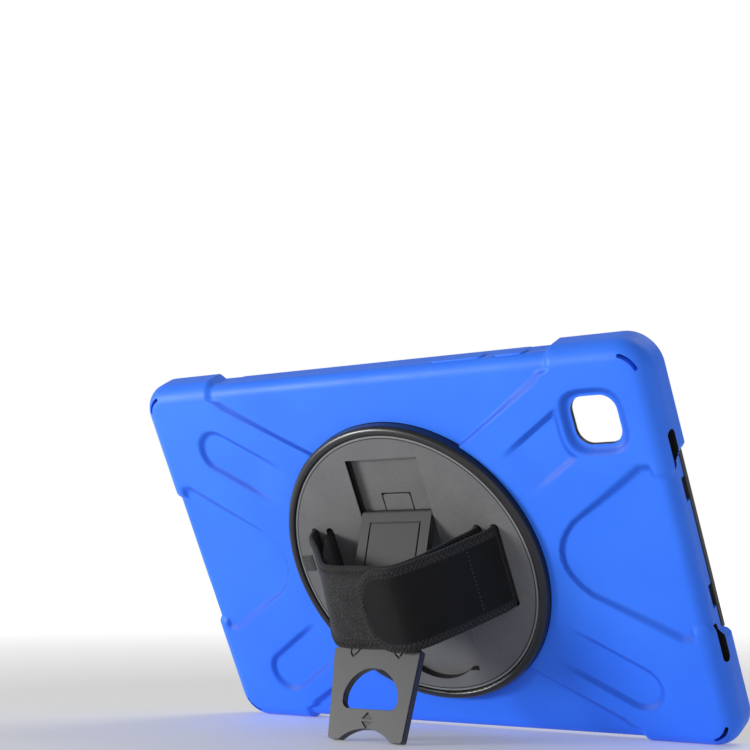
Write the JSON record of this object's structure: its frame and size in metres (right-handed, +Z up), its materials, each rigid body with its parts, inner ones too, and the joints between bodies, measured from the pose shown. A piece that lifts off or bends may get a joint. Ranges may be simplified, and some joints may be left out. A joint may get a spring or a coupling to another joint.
{
  "type": "tablet case",
  "caption": "Rugged three-layer tablet case with silicone bumpers, a turning rear disc, an adjustable hand strap and a fold-out kickstand, shown standing.",
  "frame": {"origin": "on the table, under the middle of the standing case's box", "axes": "+X along the case's long side, to the right as seen from the back; +Z up; the back with its strap and stand faces -Y"},
  "size_m": [0.2678, 0.1028, 0.1631],
  "materials": {
    "frame_plastic": "fine matt moulding",
    "shell_plastic": "matt moulding",
    "blue_silicone": "soft matt silicone",
    "collar_plastic": "satin",
    "screw_steel": "zinc plated",
    "disc_plastic": "fine spark texture",
    "leg_plastic": "fine matt moulding",
    "loop_fabric": "brushed loop knit",
    "binding_fabric": "folded binding with zigzag stitches",
    "hook_tape": "hook tape",
    "facing_fabric": "smooth facing",
    "tab_tape": "woven tape"
  },
  "bodies": {
    "case": {"front_frame": "frame_plastic", "back_shell": "shell_plastic", "silicone_skin": "blue_silicone", "swivel_collar": "collar_plastic", "collar_screws": "screw_steel"},
    "power_key": {"power_button": "blue_silicone"},
    "volume_key": {"volume_rocker": "blue_silicone"},
    "disc": {"disc_plate": "disc_plastic", "disc_back_cover": "shell_plastic", "disc_screws": "screw_steel", "strap_base": "loop_fabric", "strap_bindings": "binding_fabric", "strap_loop_left": "loop_fabric", "strap_loop_right": "loop_fabric", "strap_sewn_end": "loop_fabric", "strap_tab": "tab_tape"},
    "tongue": {"lock_tongue": "disc_plastic"},
    "stand_slider": {"stand_pin": "screw_steel"},
    "leg": {"kickstand_leg": "leg_plastic"},
    "flap": {"strap_flap": "loop_fabric", "flap_binding": "binding_fabric", "hook_patch": "hook_tape", "flap_facing": "facing_fabric"}
  },
  "joints": [
    {"name": "disc_turn", "type": "hinge", "parent": "case", "child": "disc", "pos_m": [0, -0.00484, 0.07296], "axis": [0, -0.8902, -0.4556], "continuous": true},
    {"name": "stand_slide", "type": "slide", "parent": "disc", "child": "stand_slider", "axis": [0, -0.4556, 0.8902], "range_m": [0, 0.02452]},
    {"name": "stand_fold", "type": "hinge", "parent": "stand_slider", "child": "leg", "pos_m": [0, -0.01422, 0.09556], "axis": [1, 0, 0], "range_deg": [0, 41]},
    {"name": "tongue_press", "type": "hinge", "parent": "disc", "child": "tongue", "pos_m": [0, -0.00639, 0.08564], "axis": [1, 0, 0], "range_deg": [-1.8, 0], "stiffness_Nm_per_rad": 1.5},
    {"name": "power_press", "type": "slide", "parent": "case", "child": "power_key", "axis": [0, 0.4556, -0.8902], "range_m": [0, 0.0008], "stiffness_N_per_m": 2500},
    {"name": "volume_rock", "type": "hinge", "parent": "case", "child": "volume_key", "pos_m": [0.04585, -0.03441, 0.15465], "axis": [0, -0.8902, -0.4556], "range_deg": [-2, 2], "stiffness_Nm_per_rad": 0.8},
    {"name": "flap_open", "type": "hinge", "parent": "disc", "child": "flap", "pos_m": [0.0482, -0.006, 0.07236], "axis": [0, -0.4556, 0.8902], "range_deg": [0, 90]}
  ],
  "couplings": [
    {"joint": "stand_slide", "follows": "stand_fold", "m_per_rad": 0.034238}
  ]
}
